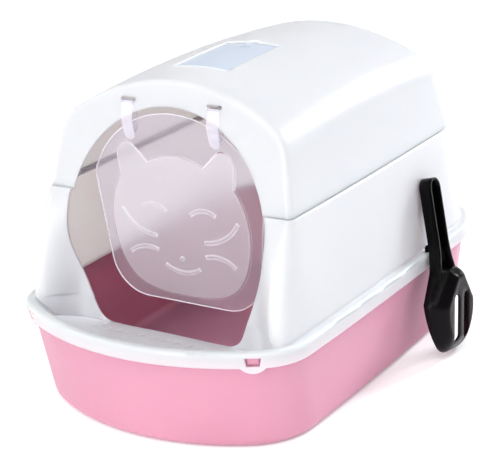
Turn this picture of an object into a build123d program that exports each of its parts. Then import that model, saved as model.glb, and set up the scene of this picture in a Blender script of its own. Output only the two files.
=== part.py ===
from build123d import *
from math import cos, radians, sin, sqrt, tan
import os

os.makedirs("parts", exist_ok=True)

# Millimetres, floor at z = 0, doorway facing -Y, origin under the middle of the rim

# Rim, where the hood sits on the tray
rim_length = 570
rim_width = 380
rim_bows = (5, 62, 40)
rim_radii = (60, 110)
flange_top = 118
flange_thickness = 3
flange_edge_radius = 4
skirt_height = 16

# Tray
tray_wall = 3
tray_setback = 6
tray_lip_thickness = 4
tray_draft = 9
tray_foot_radius = 85
tray_bottom_radius = 12
fit_clearance = 0.8

# Lower hood, from the rim up to the seam
hood_wall = 2.6
seam_height = 240
base_ledge = 12
base_flare = 3
base_bows = (5, 30)
base_radii = (14, 95)
porch_depth = 95
ear_reach = 42
ear_swell = 0.74
ear_thickening = 1.6
front_curve = ((0, 0), (0.5, 0), (0.7, 0.03), (0.84, 0.46), (1, 1))
shoulder_inset = 22.6
shoulder_setback = 11.6
shoulder_rear_inset = 57
shoulder_bows = (3, 14)
shoulder_radii = (10, 62)
shoulder_radius = 2.2
seat_width = 4
rib_height = 4
rib_door_gap = 8

# Porch in front of the doorway: a lip inside the rim and a floor that falls towards the tray
porch_sill_height = 89
porch_fall = 0.25
lip_reach = 40
lip_fall = 1.1
slot_width = 3.5
slot_length = 12
slot_pitch = 16.1
slot_count = 11
slot_rows = (26.4, 63.7)

# Snap tabs at the four corners
tab_radius = 18
tab_drop = 22
tab_front_inset = 40
tab_rear_inset = 98
window_drop = 9.6
window_width = 17
window_height = 9.8
window_taper = 10
catch_width = 12
catch_height = 6

# Upper hood
crown_height = 373
crown_radius = 1800
crown_sweep = 16
crown_foot_drop = 80
dome_inset = 3
dome_front_inset = 2.6
dome_rear_inset = 7
side_lean = 10.4
front_lean = 15.1
rear_lean = 12
arch_radius = 255
arch_corner_radius = 46
front_edge_radius = 7
rear_edge_radius = 40

# Doorway: an arch in the upper hood, and a wider one below it that narrows to the sill
door_drop = 166
door_radius = 131.5
door_widening = 1.5
door_lowering = 5
door_side_angle = 22
door_corner_radius = 24
door_reveal = 2.5

# Swing flap, with the cat's head measured from the centre of the doorway
flap_lead = 0.2632
flap_thickness = 2
flap_gap = 7.5
flap_half_width = 114
flap_foot_half_width = 97.5
flap_foot = 96
flap_corner_radius = 48
flap_shoulder_radius = 30
relief_height = 1.6
relief_shrink = 0.972
relief_line = 4.6
line_height = 1
line_slope = 1.2
relief_step = 0.2
ear_base = (38, 68)
ear_tip = (58, 87)
ear_side = (80, 72)
ear_bulge = (73, 86)
cheek_top = (77, 47)
cheek = (93, -22)
jaw = (70, -72)
head_top = 77
chin = -87.5
eye = ((16.5, 11.5), (34, 18.7), (50, 14))
upper_whisker = ((32.5, -18.5), (62.5, -8.6), (78.5, 9.5))
lower_whisker = ((32.5, -35.6), (50, -33.6), (72, -43))
mouth = ((-23.5, -51.5), (0, -58.5), (23.5, -51.5))
nose = (0, -42)
nose_radius = 3

# Hanger straps: soft loops that lie on the hood's face and close on the flap
strap_x = 57
strap_width = 14.5
strap_end_radius = 6.5
strap_thickness = 1.6
strap_bend_radius = 1.8
strap_gap = 0.3
strap_slot_rise = 1.8
strap_slot_width = 19
strap_slot_gap = 4.6
strap_knee = 3.5
strap_rear_reach = 5
strap_front_end = 90.5
strap_rear_end = 97
stud_rise = 104
stud_radius = 2.4
stud_clearance = 0.3

# Filter hatch in the crown
hatch_setback = 140.8
hatch_width = 74
hatch_length = 108
hatch_gap = 1
hatch_drop = 2.2
hatch_thickness = 2.4
hatch_seat_clearance = 0.3
hatch_pin_radius = 1.5
hatch_pin_length = 2
hatch_pin_setback = 6
hatch_edge_radius = 1.6
hatch_pin_clearance = 0.05
notch_radius = 7
hatch_dimple_radius = 6
hatch_dimple_depth = 1.2
hatch_dimple_setback = 18
filter_step = 10
filter_thickness = 8
filter_gap = 0.5
vent_width = 4
vent_pitch = 10
vent_count = 5

# Scoop hung on the rim
scoop_rear_inset = 200
scoop_lean_out = 13
scoop_lean_forward = 10
scoop_wall = 2.2
scoop_gap = 1
handle_width = 26
handle_depth = 15
handle_top = 87
handle_flare_start = 12
handle_flare = 13
handle_bottom = -34
bowl_half_width = 47
bowl_neck_half_width = 16
bowl_neck = -18
bowl_shoulder = -56
bowl_tip = -119
bowl_tip_half_width = 24
bowl_side_bulge = 7
bowl_corner_radius = 10
bowl_tip_radius = 26
bowl_depth = 37
bowl_floor_slope = 10
bowl_middle_inset = 3
bowl_floor_inset = 15
bowl_floor_radius = 5
bowl_slot_width = 13
bowl_slot_length = 56
bowl_slot_centre = -80
bowl_slot_x = 12.5
hook_width = 10
hook_thickness = 2.6
hook_reach = 9
hook_rise = 7.5
hook_depth = 0
hook_bend_radius = 3
hook_slot_clearance = 1.2

# Heights and lines that follow from these
flange_bottom = flange_top - flange_thickness
skirt_bottom = flange_top - skirt_height
tab_bottom = flange_top - tab_drop
window_centre = flange_top - window_drop
base_front = porch_depth - rim_length / 2
shoulder_front = base_front + shoulder_setback
shoulder_rear = rim_length / 2 - shoulder_rear_inset
shoulder_half_width = rim_width / 2 - shoulder_inset
dome_front = shoulder_front + dome_front_inset
dome_rear = shoulder_rear - dome_rear_inset
dome_half_width = shoulder_half_width - dome_inset
crown_y = (dome_front + dome_rear) / 2
crown_foot = seam_height - crown_foot_drop
door_centre = crown_height - door_drop
strap_slot_height = door_centre + door_radius + strap_slot_rise
flap_top_radius = door_radius - flap_gap
hatch_y = dome_front + hatch_setback
scoop_y = rim_length / 2 - scoop_rear_inset


def bow_radius(half_chord, bow):
    """Radius of the arc that rises by bow over a chord."""
    return (half_chord**2 + bow**2) / (2 * bow)


def plan(shape, drawn_in=0):
    """Plan outline of four shallow arcs with rounded corners, drawn in by a wall or a clearance."""
    half_width, front, rear, bows, radii = shape
    side_bow, front_bow, rear_bow = bows
    front_radius, rear_radius = radii
    middle = (front + front_bow + rear - rear_bow) / 2
    half_length = rear - rear_bow - middle
    side_arc = bow_radius(half_length, side_bow)
    front_arc = bow_radius(half_width - side_bow, front_bow)
    rear_arc = bow_radius(half_width - side_bow, rear_bow)
    with BuildSketch() as outline:
        with Locations((0, rear - rear_arc)):
            Circle(rear_arc - drawn_in)
        with Locations((0, front + front_arc)):
            Circle(front_arc - drawn_in, mode=Mode.INTERSECT)
        for side in (-1, 1):
            with Locations((side * (half_width - side_arc), middle)):
                Circle(side_arc - drawn_in, mode=Mode.INTERSECT)
        fillet(outline.vertices().group_by(Axis.Y)[0], front_radius - drawn_in)
        fillet(outline.vertices().group_by(Axis.Y)[-1], rear_radius - drawn_in)
    return outline.sketch


def hood_plan(shape, drawn_in=0):
    """Plan outline of the lower hood: a front that sweeps forward at its ends, bowed sides and rear."""
    half_width, front, rear, reach, bows, radii = shape
    side = half_width - drawn_in
    corner = side - bows[0]
    front_line = front + drawn_in
    reach = max(reach - ear_thickening * drawn_in, 0)
    front_end = front_line - reach
    rear_line = rear - drawn_in
    rear_end = rear_line - bows[1]
    right_half = [(across * corner, front_line - forward * reach) for across, forward in front_curve]
    left_half = [(-x, y) for x, y in reversed(right_half[1:])]
    with BuildSketch() as outline:
        with BuildLine():
            Spline(left_half + right_half)
            ThreePointArc((corner, front_end), (side, (front_end + rear_end) / 2), (corner, rear_end))
            ThreePointArc((corner, rear_end), (0, rear_line), (-corner, rear_end))
            ThreePointArc((-corner, rear_end), (-side, (front_end + rear_end) / 2), (-corner, front_end))
        make_face()
        fillet(outline.vertices().group_by(Axis.Y)[0], radii[0] - drawn_in)
        fillet(outline.vertices().group_by(Axis.Y)[-1], radii[1] - drawn_in)
    return outline.sketch


def prism(outline, bottom, top):
    """An outline extruded between two heights."""
    with BuildPart() as block:
        with BuildSketch(Plane.XY.offset(bottom)):
            add(outline)
        extrude(amount=top - bottom)
    return block.part


def tapered(*levels, straight=True):
    """A body through outlines at rising heights, with straight sides or with sides that swell."""
    with BuildPart() as body:
        for outline, height in levels:
            with BuildSketch(Plane.XY.offset(height)):
                add(outline)
        loft(ruled=straight)
    return body.part


def crown(depth):
    """The arched section of the upper hood, drawn in by depth and swept along the crown."""
    lean = tan(radians(side_lean))
    arch = arch_radius - depth
    arch_centre = crown_height - arch_radius
    half = dome_half_width - depth / cos(radians(side_lean))
    reach = half + lean * (seam_height - arch_centre)
    rise = (reach * lean + sqrt(arch**2 * (1 + lean**2) - reach**2)) / (1 + lean**2)
    corner = (reach - lean * rise, arch_centre + rise)
    foot = (half + lean * (seam_height - crown_foot), crown_foot)
    sweep_start = Plane(
        origin=(0, crown_y, crown_height - crown_radius),
        x_dir=(1, 0, 0),
        z_dir=(0, -cos(radians(crown_sweep / 2)), -sin(radians(crown_sweep / 2))),
    )
    with BuildPart() as body:
        with BuildSketch(sweep_start) as section:
            with BuildLine(Location((0, crown_radius - crown_height))):
                Polyline((-corner[0], corner[1]), (-foot[0], foot[1]), foot, corner)
                ThreePointArc(corner, (0, arch_centre + arch), (-corner[0], corner[1]))
            make_face()
            fillet(section.vertices().group_by(Axis.Y)[-1], arch_corner_radius - depth)
        crown_axis = Axis((0, crown_y, crown_height - crown_radius), (-1, 0, 0))
        revolve(axis=crown_axis, revolution_arc=crown_sweep)
    return body.part


def dome(depth, bottom):
    """The upper hood as a solid above bottom, drawn in by depth."""
    front_normal = (0, -cos(radians(front_lean)), sin(radians(front_lean)))
    rear_normal = (0, cos(radians(rear_lean)), sin(radians(rear_lean)))
    front = Plane((0, dome_front, seam_height), (1, 0, 0), front_normal)
    rear = Plane((0, dome_rear, seam_height), (1, 0, 0), rear_normal)
    block = crown(depth)
    with BuildPart() as body:
        add(block)
        split(bisect_by=front.offset(-depth), keep=Keep.BOTTOM)
        split(bisect_by=rear.offset(-depth), keep=Keep.BOTTOM)
        split(bisect_by=Plane.XY.offset(bottom), keep=Keep.TOP)
        fillet(body.faces().sort_by(Axis.Y)[0].edges().sort_by(Axis.Z)[1:], front_edge_radius - depth)
        fillet(body.faces().sort_by(Axis.Y)[-1].edges().sort_by(Axis.Z)[1:], rear_edge_radius - depth)
    return body.part


def face_y(height):
    """Front of the upper hood's leaning face at a height."""
    return dome_front + (height - seam_height) * tan(radians(front_lean))


def crown_point(x, y, depth):
    """Height of the crown, drawn in by depth, above a point of the plan."""
    arch = arch_radius - depth
    top = crown_height - arch_radius + sqrt(arch**2 - x**2)
    return crown_height - crown_radius + sqrt((top - crown_height + crown_radius) ** 2 - (y - crown_y) ** 2)


def rim_plane(x, end, height):
    """A plane standing on the rim, facing outwards, at x on the front (-1) or rear (1) edge."""
    bow = rim_bows[1] if end < 0 else rim_bows[2]
    radius = bow_radius(rim_width / 2 - rim_bows[0], bow)
    fall = sqrt(radius**2 - x**2)
    origin = (x, end * (rim_length / 2 - radius + fall), height)
    return Plane(origin, (-end * fall / radius, x / radius, 0), (x / radius, end * fall / radius, 0))


def porch_bowl(drop):
    """The space above the porch, let down by drop: inside the lip and above the sloping floor."""
    inner = plan(rim, porch_margin + lip_reach)
    outer = plan(rim, porch_margin)
    with BuildPart() as bowl:
        add(tapered((inner, flange_top - drop - lip_fall * lip_reach), (outer, flange_top - drop)))
        split(bisect_by=porch_floor.offset(-drop), keep=Keep.TOP)
    return bowl.part


def porch_area(drawn_in):
    """Plan of the porch, from the front of the rim back to the wall, drawn in by a wall."""
    with BuildSketch() as area:
        with Locations((0, base_front + hood_wall)):
            Rectangle(rim_width, rim_length, align=(Align.CENTER, Align.MAX))
        add(hood_plan(foot, drawn_in), mode=Mode.SUBTRACT)
    return area.sketch


def door_cut(radius, centre, foot_height, start, depth):
    """The doorway as a solid: an arch, straight sides below it and a sill with rounded corners."""
    angle = radians(door_side_angle)
    tangent = (radius * cos(angle), centre - radius * sin(angle))
    foot_x = tangent[0] - (tangent[1] - foot_height) * tan(angle)
    with BuildPart() as cut:
        with BuildSketch(Plane.XZ.offset(-start)) as outline:
            with BuildLine():
                ThreePointArc(tangent, (0, centre + radius), (-tangent[0], tangent[1]))
                Polyline((-tangent[0], tangent[1]), (-foot_x, foot_height), (foot_x, foot_height), tangent)
            make_face()
            fillet(outline.vertices().group_by(Axis.Y)[0], door_corner_radius)
        extrude(amount=-depth)
    return cut.part


def slab(upper, lower, half_width, front, rear):
    """A curved slab between two depths under the crown, over a rectangle of the plan."""
    top = crown(upper)
    under = crown(lower)
    with BuildPart() as plate:
        with BuildSketch(Plane.XY.offset(seam_height)):
            with Locations((0, (front + rear) / 2)):
                Rectangle(2 * half_width, rear - front)
        extrude(amount=crown_height)
        add(top, mode=Mode.INTERSECT)
        add(under, mode=Mode.SUBTRACT)
    return plate.part


def handle_outline(plane, drawn_in):
    """Outline of the scoop's handle on a plane: round top and sides that flare into the bowl."""
    half = handle_width / 2 - drawn_in
    shoulder = handle_top - handle_width / 2
    foot = (half + handle_flare, handle_bottom)
    with BuildSketch(plane) as outline:
        with BuildLine():
            ThreePointArc((half, shoulder), (0, shoulder + half), (-half, shoulder))
            Line((-half, shoulder), (-half, handle_flare_start))
            TangentArc((-half, handle_flare_start), (-foot[0], foot[1]), tangent=(0, -1))
            Line((-foot[0], foot[1]), foot)
            TangentArc((half, handle_flare_start), foot, tangent=(0, -1))
            Line((half, handle_flare_start), (half, shoulder))
        make_face()
    return outline.sketch


def bowl_outline(plane, drawn_in):
    """Outline of the scoop's bowl on a plane: sloping shoulders, bulging sides and a round tip."""
    neck = (bowl_neck_half_width - drawn_in / 2, bowl_neck - drawn_in)
    shoulder = (bowl_half_width - drawn_in, bowl_shoulder - drawn_in / 2)
    tip = (bowl_tip_half_width - drawn_in / 2, bowl_tip + drawn_in)
    side = ((shoulder[0] + tip[0]) / 2 + bowl_side_bulge, (shoulder[1] + tip[1]) / 2)
    with BuildSketch(plane) as outline:
        with BuildLine():
            Polyline((-shoulder[0], shoulder[1]), (-neck[0], neck[1]), neck, shoulder)
            ThreePointArc(shoulder, side, tip)
            Line(tip, (-tip[0], tip[1]))
            ThreePointArc((-tip[0], tip[1]), (-side[0], side[1]), (-shoulder[0], shoulder[1]))
        make_face()
        levels = outline.vertices().group_by(Axis.Y)
        fillet(levels[0], bowl_tip_radius - drawn_in)
        fillet(levels[1], bowl_corner_radius)
    return outline.sketch


def bowl_body(wall):
    """The scoop's bowl as a solid, drawn in by a wall: a soft loft from the rim to a sloping floor."""
    floor = floor_plane.offset(-wall)
    sections = (
        bowl_outline(scoop_plane, wall),
        bowl_outline(middle_plane, bowl_middle_inset + wall),
        bowl_outline(floor, bowl_floor_inset + wall),
    )
    with BuildPart() as body:
        for section in sections:
            add(section)
        loft()
        fillet(body.faces().filter_by(floor).edges(), bowl_floor_radius - wall)
    return body.part


def mirrored(point):
    """A point on the other side of the middle."""
    return (-point[0], point[1])


# Outlines and places shared by the tray and the hood
rim = (rim_width / 2, -rim_length / 2, rim_length / 2, rim_bows, rim_radii)
tab_front_x = rim_width / 2 - tab_front_inset
tab_rear_x = rim_width / 2 - tab_rear_inset
tab_planes = [rim_plane(side * tab_front_x, -1, window_centre) for side in (-1, 1)]
tab_planes += [rim_plane(side * tab_rear_x, 1, window_centre) for side in (-1, 1)]

# Tray: a deep pan with a lip that carries the hood and a catch behind each window
lip_inset = hood_wall + fit_clearance
tray_inset = tray_setback + tray_draft
tray_foot = (
    rim_width / 2 - tray_inset,
    tray_inset - rim_length / 2,
    rim_length / 2 - tray_inset,
    rim_bows,
    (tray_foot_radius, rim_radii[1] - tray_inset),
)
pan_outside = tapered((plan(tray_foot), 0), (plan(rim, tray_setback), flange_bottom))
pan_inside = tapered(
    (plan(tray_foot, tray_wall), tray_wall),
    (plan(rim, tray_setback + tray_wall), flange_bottom),
)
tray_lip = prism(plan(rim, lip_inset), flange_bottom - tray_lip_thickness, flange_bottom)
with BuildPart() as pan_hollow:
    add(pan_inside)
    fillet(pan_hollow.edges().group_by(Axis.Z)[0], tray_bottom_radius - tray_wall)
with BuildPart() as catches:
    for plane in tab_planes:
        with BuildSketch(plane.offset(-tray_inset - tray_wall)):
            Rectangle(catch_width, catch_height)
        extrude(amount=tray_inset + tray_wall - lip_inset)
with BuildPart() as tray:
    add(pan_outside)
    fillet(tray.edges().group_by(Axis.Z)[0], tray_bottom_radius)
    add(tray_lip)
    add(catches.part)
    add(pan_hollow.part, mode=Mode.SUBTRACT)
tray.part.label = "tray"
export_step(tray.part, "parts/tray.step")

# Doorway through both parts of the hood, from the front, with the flap hung under the strap slots
slot_face_y = face_y(strap_slot_height)
flap_y = slot_face_y - flap_lead
door_start = base_front - door_reveal
door_depth = flap_y - door_start
upper_door = door_cut(door_radius, door_centre, porch_sill_height, door_start, door_depth + porch_depth)
lower_door = door_cut(
    door_radius + door_widening,
    door_centre + door_lowering,
    porch_sill_height,
    door_start,
    door_depth,
)

# Plane of the scoop's back, leaning outwards and forwards from the rim
out = radians(scoop_lean_out)
forward = radians(scoop_lean_forward)
scoop_plane = Plane(
    origin=(rim_width / 2 + scoop_gap, scoop_y, flange_top),
    x_dir=(0, cos(forward), -sin(forward)),
    z_dir=(cos(out), sin(out) * sin(forward), sin(out) * cos(forward)),
)
hook_tip = scoop_plane.from_local_coords((0, 0, hook_thickness / 2 - hook_reach))

# Lower hood: flange with skirt and snap tabs, swept body, porch and a rib that locates the upper hood
base = (rim_width / 2 - base_ledge, base_front, rim_length / 2 - base_ledge, ear_reach, base_bows, base_radii)
foot = (base[0] + base_flare, base_front, base[2] + base_flare, ear_reach, base_bows, base_radii)
round_share = 1 - cos(radians(45))
ankle = (base[0] + round_share * base_flare, base_front, base[2] + round_share * base_flare, *base[3:])
shoulder = (shoulder_half_width, shoulder_front, shoulder_rear, 0, shoulder_bows, shoulder_radii)
flange = prism(plan(rim), skirt_bottom, flange_top)
under_flange = prism(plan(rim, hood_wall), skirt_bottom, flange_bottom)
wall_foot = flange_top + base_flare
wall_top = seam_height - shoulder_radius
waist = (
    (base[0] + shoulder[0]) / 2,
    (base_front + shoulder_front) / 2,
    (base[2] + shoulder_rear) / 2,
    ear_swell * ear_reach,
    [(low + high) / 2 for low, high in zip(base_bows, shoulder_bows)],
    [(low + high) / 2 for low, high in zip(base_radii, shoulder_radii)],
)
waist_height = (wall_foot + wall_top) / 2
foot_ring = tapered(
    (hood_plan(foot), flange_bottom),
    (hood_plan(foot), flange_top),
    (hood_plan(ankle), flange_top + round_share * base_flare),
    (hood_plan(base), wall_foot),
)
wall_outside = tapered(
    (hood_plan(base), wall_foot),
    (hood_plan(waist), waist_height),
    (hood_plan(shoulder), wall_top),
    straight=False,
)
shoulder_ring = tapered(
    (hood_plan(shoulder), wall_top),
    (hood_plan(shoulder, round_share * shoulder_radius), seam_height - round_share * shoulder_radius),
    (hood_plan(shoulder, shoulder_radius), seam_height),
)
foot_inside = tapered((hood_plan(foot, hood_wall), flange_bottom), (hood_plan(base, hood_wall), wall_foot))
wall_inside = tapered(
    (hood_plan(base, hood_wall), wall_foot),
    (hood_plan(waist, hood_wall), waist_height),
    (hood_plan(shoulder, hood_wall), seam_height - hood_wall),
    straight=False,
)
rib_outside = dome(hood_wall + fit_clearance, seam_height - hood_wall)
upper_passage = dome(hood_wall + seat_width, seam_height - 2 * hood_wall)
porch_margin = tray_setback + tray_wall + fit_clearance
porch_floor = Plane((0, base_front, porch_sill_height), (1, 0, 0), (0, porch_fall, 1))
porch_low = porch_sill_height - 2 * flange_thickness
porch_outside = porch_bowl(flange_thickness)
porch_inside = porch_bowl(0)
with BuildPart() as porch_block:
    add(prism(porch_area(hood_wall), porch_low, flange_bottom))
    add(porch_outside, mode=Mode.INTERSECT)
with BuildPart() as porch_space:
    add(prism(porch_area(0), porch_low, flange_top))
    add(porch_inside, mode=Mode.INTERSECT)
with BuildPart() as tab_pegs:
    for plane in tab_planes:
        with BuildSketch(plane.offset(-tab_radius)):
            with Locations((0, tab_bottom + tab_radius - window_centre)):
                Circle(tab_radius)
        extrude(amount=2 * tab_radius)
with BuildPart() as tabs:
    add(prism(plan(rim), tab_bottom, flange_bottom))
    add(prism(plan(rim, hood_wall), tab_bottom, flange_bottom), mode=Mode.SUBTRACT)
    add(tab_pegs.part, mode=Mode.INTERSECT)
with BuildPart() as drain_slots:
    with BuildSketch(Plane.XY.offset(porch_low)):
        for row, setback in enumerate(slot_rows):
            count = slot_count - row
            for index in range(count):
                with Locations(((index - (count - 1) / 2) * slot_pitch, base_front - setback)):
                    SlotOverall(slot_length, slot_width, rotation=90)
    extrude(amount=flange_top - porch_low)
with BuildPart() as windows:
    for plane in tab_planes:
        with BuildSketch(plane.offset(-lip_inset)):
            Trapezoid(window_width, window_height, 90 - window_taper, rotation=180)
        extrude(amount=2 * lip_inset)
with BuildPart() as rib:
    add(rib_outside)
    split(bisect_by=Plane.XY.offset(seam_height + rib_height), keep=Keep.BOTTOM)
    with Locations((0, dome_front, seam_height)):
        Box(2 * (door_radius + rib_door_gap), 2 * (flap_y - dome_front), 4 * rib_height, mode=Mode.SUBTRACT)
with BuildPart() as lower_hood:
    add(flange)
    fillet(lower_hood.edges().group_by(Axis.Z)[-1], flange_edge_radius)
    add(under_flange, mode=Mode.SUBTRACT)
    add(tabs.part)
    add(foot_ring)
    add(wall_outside)
    add(shoulder_ring)
    add(foot_inside, mode=Mode.SUBTRACT)
    add(wall_inside, mode=Mode.SUBTRACT)
    add(porch_block.part)
    add(porch_space.part, mode=Mode.SUBTRACT)
    add(rib.part)
    add(upper_passage, mode=Mode.SUBTRACT)
    add(lower_door, mode=Mode.SUBTRACT)
    add(drain_slots.part, mode=Mode.SUBTRACT)
    add(windows.part, mode=Mode.SUBTRACT)
    with BuildSketch(Plane.XY.offset(flange_bottom)):
        with Locations((hook_tip.X, hook_tip.Y)):
            Rectangle(hook_thickness + 2 * hook_slot_clearance, hook_width + 2 * hook_slot_clearance)
    extrude(amount=flange_thickness + base_flare, mode=Mode.SUBTRACT)
lower_hood.part.label = "lower_hood"
export_step(lower_hood.part, "parts/lower_hood.step")

# Filter hatch: curved lid on two pintles, sunk into a pocket of the crown
hatch_front = hatch_y - hatch_length / 2
hatch_rear = hatch_y + hatch_length / 2
hatch_half_width = hatch_width / 2
hatch_seat = hatch_drop + hatch_thickness + hatch_seat_clearance
filter_floor = hatch_seat + filter_thickness + filter_gap
pin_y = hatch_front + hatch_gap + hatch_pin_setback
pin_x = hatch_half_width - hatch_gap
pin_z = crown_point(pin_x, pin_y, hatch_drop + hatch_thickness / 2)
lid_plate = slab(
    hatch_drop,
    hatch_drop + hatch_thickness,
    pin_x,
    hatch_front + hatch_gap,
    hatch_rear - hatch_gap,
)
with BuildPart() as filter_lid:
    add(lid_plate)
    front_edges = filter_lid.faces().sort_by(Axis.Y)[0].edges()
    fillet(front_edges.sort_by(Axis.Z)[-1], hatch_edge_radius)
    with BuildSketch(Plane.YZ.offset(-pin_x - hatch_pin_length)):
        with Locations((pin_y, pin_z)):
            Circle(hatch_pin_radius)
    extrude(amount=2 * (pin_x + hatch_pin_length))
    with Locations((0, hatch_rear - hatch_dimple_setback, crown_point(0, hatch_rear, hatch_drop))):
        Cylinder(hatch_dimple_radius, 2 * hatch_dimple_depth, mode=Mode.SUBTRACT)
filter_lid.part.label = "filter_lid"
export_step(filter_lid.part, "parts/filter_lid.step")

# Carbon filter pad, lying on the vent grille under the lid
pad_front = hatch_front + filter_step
pad_rear = hatch_rear - filter_step
pad_half_width = hatch_half_width - filter_step
filter_plate = slab(
    hatch_seat + filter_gap,
    filter_floor,
    pad_half_width - filter_gap,
    pad_front + filter_gap,
    pad_rear - filter_gap,
)
with BuildPart() as carbon_filter:
    add(filter_plate)
carbon_filter.part.label = "carbon_filter"
export_step(carbon_filter.part, "parts/carbon_filter.step")

# Upper hood: crowned shell with a leaning face, strap slots and the filter pocket
dome_outside = dome(0, seam_height)
dome_inside = dome(hood_wall, seam_height)
pocket = slab(
    hood_wall / 2,
    filter_floor + hood_wall,
    hatch_half_width + hood_wall,
    hatch_front - hood_wall,
    hatch_rear + hood_wall,
)
lid_space = slab(-hood_wall, hatch_seat, hatch_half_width, hatch_front, hatch_rear)
pin_space = slab(-hood_wall, filter_floor, hatch_half_width, hatch_front, pad_front)
filter_space = slab(0, filter_floor, pad_half_width, pad_front, pad_rear)
notch_end = hatch_rear + notch_radius + hood_wall
notch_depth = crown_height - crown_point(0, hatch_rear, hatch_seat)
notch_floor = slab(hood_wall / 2, hatch_seat + hood_wall, notch_radius + hood_wall, hatch_rear, notch_end)
with BuildPart() as upper_hood:
    add(dome_outside)
    add(dome_inside, mode=Mode.SUBTRACT)
    add(pocket)
    add(notch_floor)
    add(lid_space, mode=Mode.SUBTRACT)
    add(pin_space, mode=Mode.SUBTRACT)
    add(filter_space, mode=Mode.SUBTRACT)
    with BuildSketch(Plane.YZ.offset(-pin_x - hatch_pin_length - hatch_gap)):
        with Locations((pin_y, pin_z)):
            Circle(hatch_pin_radius + hatch_pin_clearance)
    extrude(amount=2 * (pin_x + hatch_pin_length + hatch_gap), mode=Mode.SUBTRACT)
    with BuildSketch(Plane.XY.offset(seam_height)):
        with GridLocations(vent_pitch, 1, vent_count, 1):
            with Locations((0, hatch_y)):
                SlotOverall(pad_rear - pad_front - 2 * vent_width, vent_width, rotation=90)
    extrude(amount=crown_height - seam_height, mode=Mode.SUBTRACT)
    with Locations((0, hatch_rear, crown_height)):
        Cylinder(notch_radius, 2 * notch_depth, mode=Mode.SUBTRACT)
    add(upper_door, mode=Mode.SUBTRACT)
    with BuildSketch(Plane.XZ.offset(strap_rear_reach - slot_face_y)):
        for side in (-1, 1):
            with Locations((side * strap_x, strap_slot_height + strap_slot_gap / 2)):
                RectangleRounded(strap_slot_width, strap_slot_gap, strap_slot_gap / 3)
    extrude(amount=-2 * strap_rear_reach, mode=Mode.SUBTRACT)
upper_hood.part.label = "upper_hood"
export_step(upper_hood.part, "parts/upper_hood.step")

# Swing flap: a clear plate with an arched top, two holes for the strap studs and a cat's head in relief
flap_front = Plane((0, flap_y - flap_thickness / 2, door_centre), (1, 0, 0), (0, -1, 0))
arch_foot = sqrt(flap_top_radius**2 - flap_half_width**2)
with BuildPart() as flap:
    with BuildSketch(flap_front) as flap_outline:
        with BuildLine():
            Polyline(
                (-flap_half_width, arch_foot),
                (-flap_foot_half_width, -flap_foot),
                (flap_foot_half_width, -flap_foot),
                (flap_half_width, arch_foot),
            )
            ThreePointArc((flap_half_width, arch_foot), (0, flap_top_radius), (-flap_half_width, arch_foot))
        make_face()
        fillet(flap_outline.vertices().group_by(Axis.Y)[0], flap_corner_radius)
        fillet(flap_outline.vertices().group_by(Axis.Y)[-1], flap_shoulder_radius)
        for side in (-1, 1):
            with Locations((side * strap_x, stud_rise)):
                Circle(stud_radius + stud_clearance, mode=Mode.SUBTRACT)
    extrude(amount=-flap_thickness)
    with BuildSketch(flap_front) as head:
        with BuildLine():
            ThreePointArc(mirrored(ear_base), (0, head_top), ear_base)
            Line(ear_base, ear_tip)
            ThreePointArc(ear_tip, ear_bulge, ear_side)
            Line(ear_side, cheek_top)
            Spline(cheek_top, cheek, jaw, (0, chin), mirrored(jaw), mirrored(cheek), mirrored(cheek_top))
            Line(mirrored(cheek_top), mirrored(ear_side))
            ThreePointArc(mirrored(ear_side), mirrored(ear_bulge), mirrored(ear_tip))
            Line(mirrored(ear_tip), mirrored(ear_base))
        make_face()
    with BuildSketch(flap_front.offset(relief_height)):
        add(head.sketch_local)
        scale(by=relief_shrink)
    loft(ruled=True)
    with BuildSketch(flap_front.offset(relief_height)):
        for stroke in (eye, upper_whisker, lower_whisker):
            with BuildLine():
                ThreePointArc(stroke)
            trace(line_width=relief_line)
            with BuildLine():
                ThreePointArc([mirrored(point) for point in stroke])
            trace(line_width=relief_line)
        with BuildLine():
            ThreePointArc(mouth)
        trace(line_width=relief_line)
        with Locations(nose):
            Circle(nose_radius)
    extrude(amount=line_height)
    strokes = flap.faces().filter_by(Axis.Y).group_by(Axis.Y)[0]
    chamfer(strokes.edges(), line_height - relief_step, line_slope)
flap.part.label = "flap"
export_step(flap.part, "parts/flap.step")

# Hanger straps: soft loops through the slots and over the hood's face, with a stud through the flap
strap_offset = strap_gap + strap_thickness / 2
face_offset = strap_offset / cos(radians(front_lean))
strap_top = strap_slot_height + strap_offset
strap_bend = door_centre + sqrt(door_radius**2 - strap_x**2) - strap_knee
strap_bend_y = face_y(strap_bend) - face_offset
strap_front_y = flap_y - flap_thickness / 2 - strap_offset
strap_rear_y = flap_y + flap_thickness / 2 + strap_offset
strap_back_y = slot_face_y + strap_rear_reach
stud_front = (strap_bend_y + strap_front_y) / 2
stud_rear = (strap_back_y + strap_rear_y) / 2
for side, name in ((-1, "left_strap"), (1, "right_strap")):
    with BuildPart() as strap:
        with BuildSketch(Plane.YZ.offset(side * strap_x - strap_width / 2)):
            with BuildLine():
                FilletPolyline(
                    (strap_front_y, door_centre + strap_front_end),
                    (strap_bend_y, strap_bend),
                    (face_y(strap_top) - face_offset, strap_top),
                    (strap_back_y, strap_top),
                    (strap_back_y, strap_bend),
                    (strap_rear_y, door_centre + strap_rear_end),
                    radius=strap_bend_radius,
                )
            trace(line_width=strap_thickness)
        extrude(amount=strap_width)
        ends = strap.faces().filter_by(GeomType.PLANE).sort_by(Axis.Z)[:2]
        fillet(ends.edges().filter_by(Axis.X, reverse=True), strap_end_radius)
        with BuildSketch(Plane.XZ.offset(-stud_front)):
            with Locations((side * strap_x, door_centre + stud_rise)):
                Circle(stud_radius)
        extrude(amount=stud_front - stud_rear)
    strap.part.label = name
    export_step(strap.part, f"parts/{name}.step")

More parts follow.
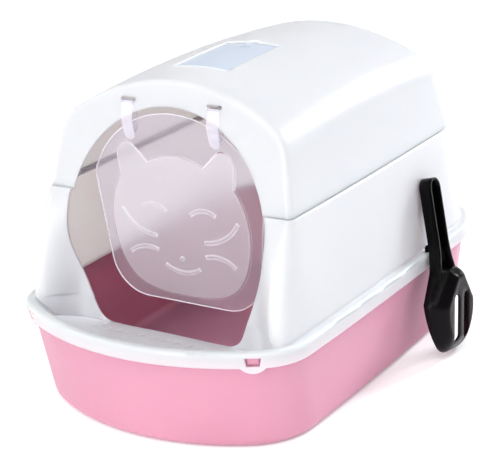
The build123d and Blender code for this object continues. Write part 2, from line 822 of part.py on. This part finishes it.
# Scoop: channel handle, slotted bowl with its open side to the wall, and a hook over the rim
slope = radians(bowl_floor_slope)
floor_plane = Plane(
    origin=scoop_plane.from_local_coords((0, 0, bowl_depth)),
    x_dir=scoop_plane.x_dir,
    z_dir=scoop_plane.z_dir * cos(slope) - scoop_plane.y_dir * sin(slope),
)
middle_plane = Plane(
    origin=scoop_plane.from_local_coords((0, 0, bowl_depth / 2)),
    x_dir=scoop_plane.x_dir,
    z_dir=scoop_plane.z_dir * cos(slope / 2) - scoop_plane.y_dir * sin(slope / 2),
)
hook_plane = Plane(origin=scoop_plane.origin, x_dir=scoop_plane.z_dir, z_dir=-scoop_plane.x_dir)
bowl = bowl_body(0)
bowl_cavity = bowl_body(scoop_wall)
with BuildPart() as scoop:
    add(handle_outline(scoop_plane, 0))
    extrude(amount=handle_depth, dir=scoop_plane.z_dir)
    add(handle_outline(scoop_plane.offset(scoop_wall), scoop_wall))
    extrude(amount=handle_depth, dir=scoop_plane.z_dir, mode=Mode.SUBTRACT)
    add(bowl)
    add(bowl_cavity, mode=Mode.SUBTRACT)
    with BuildSketch(floor_plane.offset(scoop_wall)):
        for side in (-1, 1):
            with Locations((side * bowl_slot_x, bowl_slot_centre)):
                SlotOverall(bowl_slot_length, bowl_slot_width, rotation=90)
    extrude(amount=-4 * scoop_wall, mode=Mode.SUBTRACT)
    with BuildSketch(hook_plane):
        with BuildLine():
            FilletPolyline(
                (scoop_wall / 2, hook_rise),
                (hook_thickness / 2 - hook_reach, hook_rise),
                (hook_thickness / 2 - hook_reach, -hook_depth),
                radius=hook_bend_radius,
            )
        trace(line_width=hook_thickness)
    extrude(amount=hook_width / 2, both=True)
scoop.part.label = "scoop"
export_step(scoop.part, "parts/scoop.step")
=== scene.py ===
import math

import bmesh
import bpy
from mathutils import Matrix, Vector


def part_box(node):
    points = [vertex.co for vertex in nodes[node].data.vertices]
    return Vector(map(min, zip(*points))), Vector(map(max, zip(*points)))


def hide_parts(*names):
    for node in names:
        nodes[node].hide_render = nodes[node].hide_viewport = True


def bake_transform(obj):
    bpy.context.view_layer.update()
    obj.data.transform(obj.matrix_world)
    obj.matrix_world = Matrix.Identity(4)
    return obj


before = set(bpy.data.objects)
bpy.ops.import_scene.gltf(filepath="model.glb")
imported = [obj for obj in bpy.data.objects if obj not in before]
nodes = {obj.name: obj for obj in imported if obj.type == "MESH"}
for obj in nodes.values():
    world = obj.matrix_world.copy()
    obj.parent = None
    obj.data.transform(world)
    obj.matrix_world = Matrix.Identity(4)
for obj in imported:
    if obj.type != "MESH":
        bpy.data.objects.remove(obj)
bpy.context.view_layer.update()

# Camera fitted to the photo: place in metres, angles in degrees, image in pixels, sensor in millimetres
IMAGE_WIDTH = 500
FOCAL_PIXELS = 1380
SENSOR_WIDTH = 36
CAMERA_PLACE = (0.87985, -1.28577, 0.71031)
CAMERA_AZIMUTH = 34.7447
CAMERA_PITCH = 20.0301
CAMERA_ROLL = -4.3016

# Hanger straps, in metres: the route in YZ of the solids, from the front end over the slot to the rear end
STRAP_ROUTE = (
    (-0.1511, 0.2975),
    (-0.1548, 0.3220),
    (-0.1496, 0.3414),
    (-0.1437, 0.3414),
    (-0.1437, 0.3220),
    (-0.1469, 0.3040),
)
STRAP_CORNER = 0.0026
STRAP_THICKNESS = 0.0016
STRAP_TOP_WIDTH = 0.0160
STRAP_END_WIDTH = 0.0138
STRAP_SPACING = 0.0012
STUD_HEIGHT = 0.311
STUD_RADIUS = 0.0024
STUD_REACH = (-0.1528, -0.1452)
PLATE_THICKNESS = 0.002
RELIEF_HEIGHT = 0.0014
STRAP_SIDES = 20
STUD_SIDES = 24
CORNER_STEPS = 8
WIDTH_ROUNDING = 0.3
THICKNESS_ROUNDING = 0.6
TIP_SQUARE = 1e-7  # square of the half width at a strap's very tip

# Surface textures: features per metre, heights in metres and the rounding of edges
FLOW_MARKS = 7.0
GLOSS_PATCHES = 30.0
MOULD_GRAIN = 1400.0
CLOUDING = 12.0
CLEAR_GRAIN = 1800.0
FELT_FIBRES = 900.0
FLOOR_MOTTLE = 2.0
GRAIN_HEIGHT = 0.0002
FELT_HEIGHT = 0.0008
BEVEL_SAMPLES = 8

# Clear plastic: the plate, the raised head and the edges, which carry a painted highlight, with lengths in
# metres
PLATE_ROUGHNESS = 0.12
HEAD_ROUGHNESS = 0.40
PLATE_CLEARNESS = 0.92
HEAD_CLEARNESS = 0.74
EDGE_CLEARNESS = 0.1
EDGE_RADIUS = 0.0014
EDGE_START = 0.995
EDGE_END = 0.95
SHADOW_CLEARNESS = 0.75
CLEAR_IOR = 1.25
FROST_MARGIN = 0.0002

# Seeping light: how far red, green and blue reach beside one another
SCATTER_REACH = (1.0, 0.88, 0.80)

# Studio: places in metres, strengths as shares of white
MIDDLE = (0, 0, 0.18)
FLOOR_REACH = 12
FLOOR_GLOW = 0.2
WORLD_LIGHT = 0.75
WORLD_REFLECTION = 0.4


def socket(node, name, value):
    """Set one input of a shader node."""
    node.inputs[name].default_value = value


def new_material(name):
    """A new material, its node tree and its principled shader."""
    material = bpy.data.materials.new(name)
    material.use_nodes = True
    tree = material.node_tree
    shader = tree.nodes["Principled BSDF"]
    return material, tree, shader


def place(tree):
    """Position in the object's own space, in metres."""
    node = tree.nodes.get("Texture Coordinate") or tree.nodes.new("ShaderNodeTexCoord")
    return node.outputs["Object"]


def noise(tree, scale, detail=3.0):
    """Noise in object space, in features per metre."""
    texture = tree.nodes.new("ShaderNodeTexNoise")
    socket(texture, "Scale", scale)
    socket(texture, "Detail", detail)
    tree.links.new(place(tree), texture.inputs["Vector"])
    return texture.outputs["Fac"]


def ramp(tree, factor, low, high):
    """Blend between two colours by a factor."""
    blend = tree.nodes.new("ShaderNodeValToRGB")
    blend.color_ramp.elements[0].position = 0.3
    blend.color_ramp.elements[1].position = 0.7
    blend.color_ramp.elements[0].color = (*low, 1)
    blend.color_ramp.elements[1].color = (*high, 1)
    tree.links.new(factor, blend.inputs["Fac"])
    return blend.outputs["Color"]


def span(tree, factor, low, high, start=0.3, end=0.7):
    """Map a factor between two values to a range of numbers."""
    mapped = tree.nodes.new("ShaderNodeMapRange")
    socket(mapped, "From Min", start)
    socket(mapped, "From Max", end)
    socket(mapped, "To Min", low)
    socket(mapped, "To Max", high)
    tree.links.new(factor, mapped.inputs["Value"])
    return mapped.outputs["Result"]


def rounded(tree, radius):
    """Normals rounded over the edges within a radius in metres."""
    node = tree.nodes.new("ShaderNodeBevel")
    node.samples = BEVEL_SAMPLES
    socket(node, "Radius", radius)
    return node.outputs["Normal"]


def bump(tree, factor, strength, distance, normal=None):
    """A normal from a height, on top of a given normal."""
    relief = tree.nodes.new("ShaderNodeBump")
    socket(relief, "Strength", strength)
    socket(relief, "Distance", distance)
    tree.links.new(factor, relief.inputs["Height"])
    if normal:
        tree.links.new(normal, relief.inputs["Normal"])
    return relief.outputs["Normal"]


def product(tree, first, second):
    """Product of two numbers."""
    node = tree.nodes.new("ShaderNodeMath")
    node.operation = "MULTIPLY"
    tree.links.new(first, node.inputs[0])
    tree.links.new(second, node.inputs[1])
    return node.outputs["Value"]


def moulded_plastic(name, low, high, rough, shine, soften, grain=0.12, scatter=0.0, depth=0.0):
    """Moulded plastic: faint flow marks, uneven gloss, soft edges, a fine grain and seeping light."""
    material, tree, shader = new_material(name)
    tree.links.new(ramp(tree, noise(tree, FLOW_MARKS, 2.0), low, high), shader.inputs["Base Color"])
    tree.links.new(span(tree, noise(tree, GLOSS_PATCHES), *rough), shader.inputs["Roughness"])
    surface = bump(tree, noise(tree, MOULD_GRAIN), grain, GRAIN_HEIGHT, rounded(tree, soften))
    tree.links.new(surface, shader.inputs["Normal"])
    socket(shader, "Specular IOR Level", shine)
    socket(shader, "Subsurface Weight", scatter)
    socket(shader, "Subsurface Radius", SCATTER_REACH)
    socket(shader, "Subsurface Scale", depth)
    return material


def edge_highlight_mask(tree, radius):
    """One along sharp edges and zero on open faces, within a radius in metres: where the painted highlight
    goes.
    """
    surface = tree.nodes.new("ShaderNodeNewGeometry")
    compare = tree.nodes.new("ShaderNodeVectorMath")
    compare.operation = "DOT_PRODUCT"
    tree.links.new(rounded(tree, radius), compare.inputs[0])
    tree.links.new(surface.outputs["Normal"], compare.inputs[1])
    return span(tree, compare.outputs["Value"], 0, 1, EDGE_START, EDGE_END)


def clear_plastic(name, low, high, frost_start, frost_end):
    """See-through plastic: clear on the plate, frosted where it is raised, and white along its edges as a
    painted highlight for the light the edges catch.
    """
    material, tree, shader = new_material(name)
    tree.links.new(ramp(tree, noise(tree, CLOUDING), low, high), shader.inputs["Base Color"])
    tree.links.new(bump(tree, noise(tree, CLEAR_GRAIN), 0.08, GRAIN_HEIGHT), shader.inputs["Normal"])
    split = tree.nodes.new("ShaderNodeSeparateXYZ")
    tree.links.new(place(tree), split.inputs["Vector"])
    depth = split.outputs["Y"]
    roughness = span(tree, depth, PLATE_ROUGHNESS, HEAD_ROUGHNESS, frost_start, frost_end)
    tree.links.new(roughness, shader.inputs["Roughness"])
    clearness = span(tree, depth, PLATE_CLEARNESS, HEAD_CLEARNESS, frost_start, frost_end)
    # Painted highlight: the edges lose their clearness so that they show white
    open_face = span(tree, edge_highlight_mask(tree, EDGE_RADIUS), 1, EDGE_CLEARNESS, 0, 1)
    tree.links.new(product(tree, clearness, open_face), shader.inputs["Transmission Weight"])
    socket(shader, "IOR", CLEAR_IOR)
    let_through = tree.nodes.new("ShaderNodeBsdfTransparent")
    either = tree.nodes.new("ShaderNodeMixShader")
    path = tree.nodes.new("ShaderNodeLightPath")
    passing = span(tree, path.outputs["Is Shadow Ray"], 0, SHADOW_CLEARNESS, 0, 1)
    tree.links.new(passing, either.inputs["Fac"])
    tree.links.new(shader.outputs["BSDF"], either.inputs[1])
    tree.links.new(let_through.outputs["BSDF"], either.inputs[2])
    tree.links.new(either.outputs["Shader"], tree.nodes["Material Output"].inputs["Surface"])
    return material


def felt(name, low, high):
    """Black carbon felt: matted fibres."""
    material, tree, shader = new_material(name)
    fibres = noise(tree, FELT_FIBRES, 8.0)
    tree.links.new(ramp(tree, fibres, low, high), shader.inputs["Base Color"])
    tree.links.new(span(tree, fibres, 0.85, 1.0), shader.inputs["Roughness"])
    tree.links.new(bump(tree, fibres, 0.8, FELT_HEIGHT), shader.inputs["Normal"])
    socket(shader, "Sheen Weight", 0.2)
    return material


pink = moulded_plastic(
    "pink_plastic",
    low=(0.64, 0.30, 0.41),
    high=(0.68, 0.325, 0.44),
    rough=(0.34, 0.44),
    shine=0.3,
    soften=0.003,
    scatter=0.7,
    depth=0.0055,
)
white = moulded_plastic(
    "white_plastic",
    low=(0.95, 0.965, 0.985),
    high=(0.97, 0.98, 0.995),
    rough=(0.30, 0.38),
    shine=0.4,
    soften=0.003,
    scatter=1.0,
    depth=0.018,
)
grey = moulded_plastic(
    "grey_plastic",
    low=(0.51, 0.57, 0.67),
    high=(0.55, 0.61, 0.70),
    rough=(0.38, 0.46),
    shine=0.3,
    soften=0.0008,
)
black = moulded_plastic(
    "black_plastic",
    low=(0.001, 0.0008, 0.001),
    high=(0.003, 0.002, 0.003),
    rough=(0.11, 0.16),
    shine=0.1,
    soften=0.009,
    grain=0.03,
)
plate_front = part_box("flap")[1].y - PLATE_THICKNESS
clear = clear_plastic(
    "clear_plastic",
    low=(0.91, 0.89, 0.97),
    high=(0.94, 0.92, 0.99),
    frost_start=plate_front - FROST_MARGIN,
    frost_end=plate_front - RELIEF_HEIGHT,
)
carbon = felt("carbon_felt", (0.004, 0.004, 0.005), (0.03, 0.03, 0.032))

finishes = {
    "tray": pink,
    "lower_hood": white,
    "upper_hood": white,
    "flap": clear,
    "left_strap": clear,
    "right_strap": clear,
    "filter_lid": grey,
    "carbon_filter": carbon,
    "scoop": black,
}
for name, material in finishes.items():
    mesh = nodes[name].data
    mesh.materials.clear()
    mesh.materials.append(material)


def strap_route():
    """Middle line of a strap with rounded corners and closely spaced points."""
    corners = [Vector((0, y, z)) for y, z in STRAP_ROUTE]
    line = [corners[0]]
    for before, corner, after in zip(corners, corners[1:], corners[2:]):
        start = corner + (before - corner).normalized() * STRAP_CORNER
        end = corner + (after - corner).normalized() * STRAP_CORNER
        for step in range(CORNER_STEPS + 1):
            part = step / CORNER_STEPS
            line.append(start.lerp(corner, part).lerp(corner.lerp(end, part), part))
    line.append(corners[-1])
    route = [line[0]]
    for before, after in zip(line, line[1:]):
        pieces = max(1, round((after - before).length / STRAP_SPACING))
        route += [before.lerp(after, step / pieces) for step in range(1, pieces + 1)]
    return route


def strap_rings(shell, x):
    """Cross-sections of a strap along its route: soft edges, a slight taper and round ends."""
    route = strap_route()
    lengths = [0.0]
    for before, after in zip(route, route[1:]):
        lengths.append(lengths[-1] + (after - before).length)
    highest = max(point.z for point in route)
    rings = []
    for index, point in enumerate(route):
        along = (route[min(index + 1, len(route) - 1)] - route[max(index - 1, 0)]).normalized()
        out = Vector((0, -along.z, along.y))
        drop = (highest - point.z) / (highest - route[0].z)
        half = (STRAP_TOP_WIDTH + drop * (STRAP_END_WIDTH - STRAP_TOP_WIDTH)) / 2
        from_end = min(lengths[index], lengths[-1] - lengths[index])
        if from_end < half:
            half = math.sqrt(max(half**2 - (half - from_end) ** 2, TIP_SQUARE))
        ring = []
        for step in range(STRAP_SIDES):
            angle = 2 * math.pi * step / STRAP_SIDES
            across = math.copysign(abs(math.cos(angle)) ** WIDTH_ROUNDING, math.cos(angle)) * half
            thick = math.copysign(abs(math.sin(angle)) ** THICKNESS_ROUNDING, math.sin(angle))
            thick *= STRAP_THICKNESS / 2
            ring.append(shell.verts.new(point + Vector((x + across, 0, 0)) + out * thick))
        rings.append(ring)
    return rings


def close_rings(shell, rings):
    """Faces between rings of equal size, with both ends closed."""
    sides = len(rings[0])
    for ring, following in zip(rings, rings[1:]):
        for step in range(sides):
            nxt = (step + 1) % sides
            shell.faces.new((ring[step], ring[nxt], following[nxt], following[step]))
    shell.faces.new(rings[0][::-1])
    shell.faces.new(rings[-1])


def strap_mesh(name, x):
    """A soft moulded strap with round ends and the stud that holds its ends together."""
    shell = bmesh.new()
    close_rings(shell, strap_rings(shell, x))
    stud = []
    for y in STUD_REACH:
        turn = [2 * math.pi * step / STUD_SIDES for step in range(STUD_SIDES)]
        spots = [(x + STUD_RADIUS * math.cos(t), y, STUD_HEIGHT + STUD_RADIUS * math.sin(t)) for t in turn]
        stud.append([shell.verts.new(spot) for spot in spots])
    close_rings(shell, stud)
    bmesh.ops.recalc_face_normals(shell, faces=shell.faces)
    mesh = bpy.data.meshes.new(name)
    shell.to_mesh(mesh)
    shell.free()
    for face in mesh.polygons:
        face.use_smooth = True
    mesh.materials.append(clear)
    strap = bpy.data.objects.new(name, mesh)
    bpy.context.scene.collection.objects.link(strap)
    return strap


for node in ("left_strap", "right_strap"):
    low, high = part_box(node)
    strap = strap_mesh(f"{node}_soft", (low.x + high.x) / 2)
    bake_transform(strap)
    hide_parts(node)


def soft_light(name, spot, target, size, power, colour=(1, 1, 1)):
    """A square area light aimed at a point."""
    light = bpy.data.lights.new(name, "AREA")
    light.shape = "SQUARE"
    light.size = size
    light.energy = power
    light.color = colour
    lamp = bpy.data.objects.new(name, light)
    bpy.context.scene.collection.objects.link(lamp)
    lamp.location = spot
    lamp.rotation_euler = (Vector(target) - Vector(spot)).to_track_quat("-Z", "Y").to_euler()


soft_light("key", (-0.2, -2.9, 1.35), MIDDLE, 1.4, 42, (1.0, 0.98, 0.95))
soft_light("overhead", (0.4, -1.5, 2.8), MIDDLE, 1.4, 26)
soft_light("rear", (0.9, 2.4, 1.4), MIDDLE, 0.8, 64, (0.94, 0.97, 1.0))


def seen_level(tree, path, seen, unseen):
    """A number for what is seen directly or through clear plastic, and another for light."""
    view = tree.nodes.new("ShaderNodeMath")
    view.operation = "MAXIMUM"
    tree.links.new(path.outputs["Is Camera Ray"], view.inputs[0])
    tree.links.new(path.outputs["Is Transmission Ray"], view.inputs[1])
    return span(tree, view.outputs["Value"], unseen, seen, 0, 1)


def plain_floor():
    """A wide white floor that keeps the object's shadow."""
    mesh = bpy.data.meshes.new("floor")
    corners = [(x * FLOOR_REACH, y * FLOOR_REACH, 0) for x, y in ((-1, -1), (1, -1), (1, 1), (-1, 1))]
    mesh.from_pydata(corners, [], [(0, 1, 2, 3)])
    floor = bpy.data.objects.new("floor", mesh)
    bpy.context.scene.collection.objects.link(floor)
    material, tree, shader = new_material("floor")
    paint = ramp(tree, noise(tree, FLOOR_MOTTLE), (0.94, 0.94, 0.945), (0.95, 0.95, 0.955))
    tree.links.new(paint, shader.inputs["Base Color"])
    socket(shader, "Roughness", 0.9)
    socket(shader, "Specular IOR Level", 0.0)
    socket(shader, "Emission Color", (1, 1, 1, 1))
    path = tree.nodes.new("ShaderNodeLightPath")
    tree.links.new(seen_level(tree, path, FLOOR_GLOW, 0), shader.inputs["Emission Strength"])
    mesh.materials.append(material)


def studio_world():
    """Even white surroundings: white to the eye, softer as light and dim in reflections."""
    world = bpy.data.worlds.new("studio")
    bpy.context.scene.world = world
    world.use_nodes = True
    tree = world.node_tree
    back = tree.nodes["Background"]
    path = tree.nodes.new("ShaderNodeLightPath")
    reflected = span(tree, path.outputs["Is Glossy Ray"], 1, WORLD_REFLECTION, 0, 1)
    strength = product(tree, seen_level(tree, path, 1, WORLD_LIGHT), reflected)
    tree.links.new(strength, back.inputs["Strength"])
    socket(back, "Color", (1, 1, 1, 1))


plain_floor()
studio_world()


def photo_camera():
    """The camera at the photo's viewing angle."""
    azimuth, pitch, roll = (math.radians(angle) for angle in (CAMERA_AZIMUTH, CAMERA_PITCH, CAMERA_ROLL))
    flat = math.cos(pitch)
    back = Vector((math.sin(azimuth) * flat, -math.cos(azimuth) * flat, math.sin(pitch)))
    level = Vector((math.cos(azimuth), math.sin(azimuth), 0))
    upright = back.cross(level)
    right = level * math.cos(roll) + upright * math.sin(roll)
    up = upright * math.cos(roll) - level * math.sin(roll)
    data = bpy.data.cameras.new("camera")
    data.sensor_fit = "HORIZONTAL"
    data.sensor_width = SENSOR_WIDTH
    data.lens = FOCAL_PIXELS / IMAGE_WIDTH * SENSOR_WIDTH
    camera = bpy.data.objects.new("camera", data)
    bpy.context.scene.collection.objects.link(camera)
    turn = Matrix((right, up, back)).transposed().to_4x4()
    camera.matrix_world = Matrix.Translation(CAMERA_PLACE) @ turn
    bpy.context.scene.camera = camera


photo_camera()
bpy.context.scene.view_settings.view_transform = "Standard"
bpy.context.view_layer.update()
